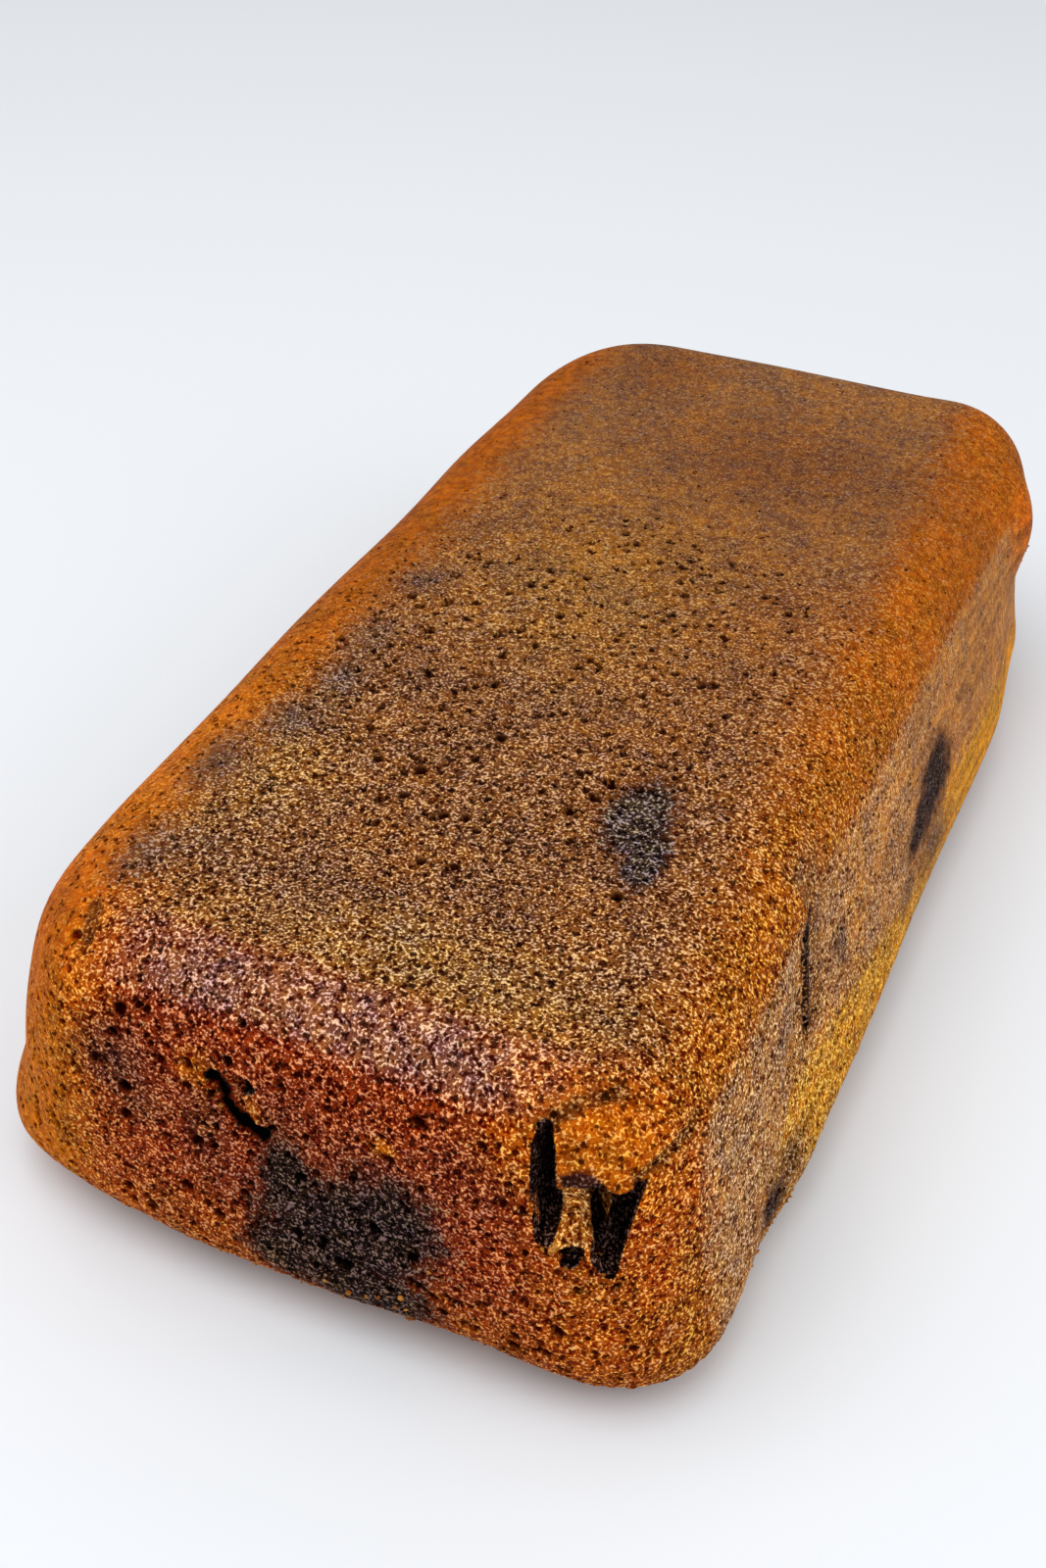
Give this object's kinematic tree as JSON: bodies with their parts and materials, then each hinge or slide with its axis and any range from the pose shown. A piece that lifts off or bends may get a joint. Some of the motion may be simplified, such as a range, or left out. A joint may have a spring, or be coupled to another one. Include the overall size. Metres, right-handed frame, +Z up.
{
  "type": "marble loaf cake",
  "caption": "Whole marble loaf cake, a rounded block with flared walls, turned out upside down with its flat browned top and torn crust showing.",
  "frame": {"origin": "on the surface the cake stands on, under the middle of the loaf", "axes": "+Y along the loaf to the far end, away from the torn end; +X across the loaf; +Z up, out of the flat top"},
  "size_m": [0.1254, 0.2326, 0.0576],
  "materials": {
    "browned_crust": "browned sponge cake crust with open pores, chestnut brown on the flat top, orange at the edges and near-black where the cocoa batter reached the tin; fine satin sheen"
  },
  "bodies": {
    "root": {"loaf": "browned_crust"}
  },
  "joints": []
}
